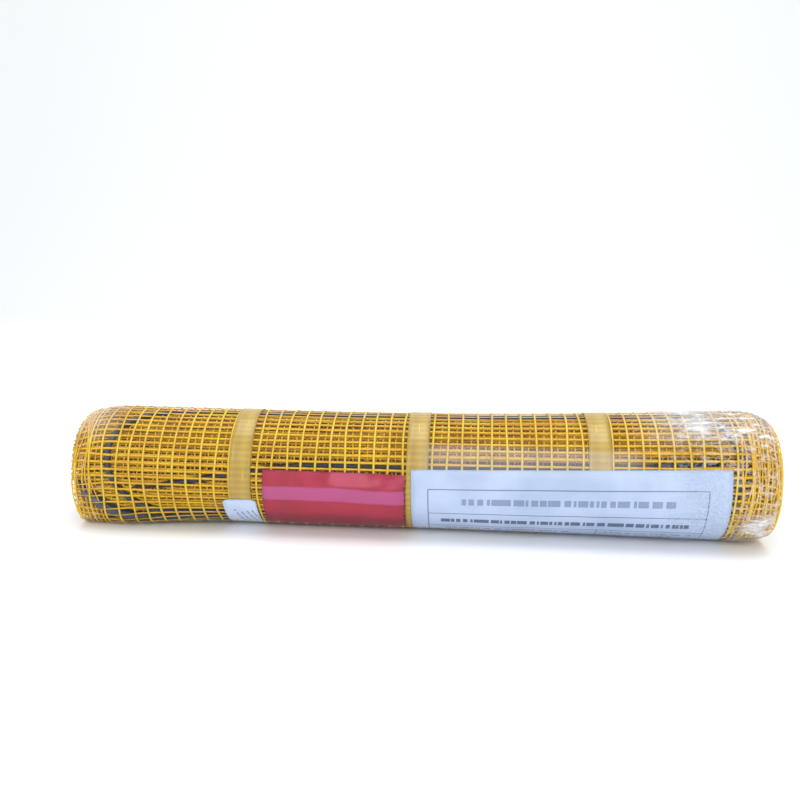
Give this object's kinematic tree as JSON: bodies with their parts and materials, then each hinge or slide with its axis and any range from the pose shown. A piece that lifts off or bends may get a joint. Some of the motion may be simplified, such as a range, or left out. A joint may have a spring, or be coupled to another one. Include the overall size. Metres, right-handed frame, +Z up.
{
  "type": "underfloor heating mat",
  "caption": "Rolled underfloor heating mat: yellow glass-fibre mesh with a dark heating cable in a serpentine, paper cards and tapes round it, shrink-wrapped in clear film",
  "frame": {"origin": "on the floor under the middle of the roll: the middle of the base of the object's box", "axes": "+X along the roll towards its looser end, -Y towards the side that shows the cards, +Z up from the floor"},
  "size_m": [0.496, 0.0938, 0.0926],
  "materials": {
    "mesh": "matte",
    "cable": "satin",
    "lead": "satin",
    "tape": "satin",
    "white_paper": "matte",
    "red_paper": "matte",
    "film": "gloss"
  },
  "bodies": {
    "root": {"mat_roll": "mesh", "heating_cable": "cable", "supply_lead": "lead", "tape_left": "tape", "tape_middle": "tape", "tape_right": "tape", "control_card": "white_paper", "caution_card": "red_paper", "cable_label": "white_paper", "shrink_film": "film"}
  },
  "joints": []
}
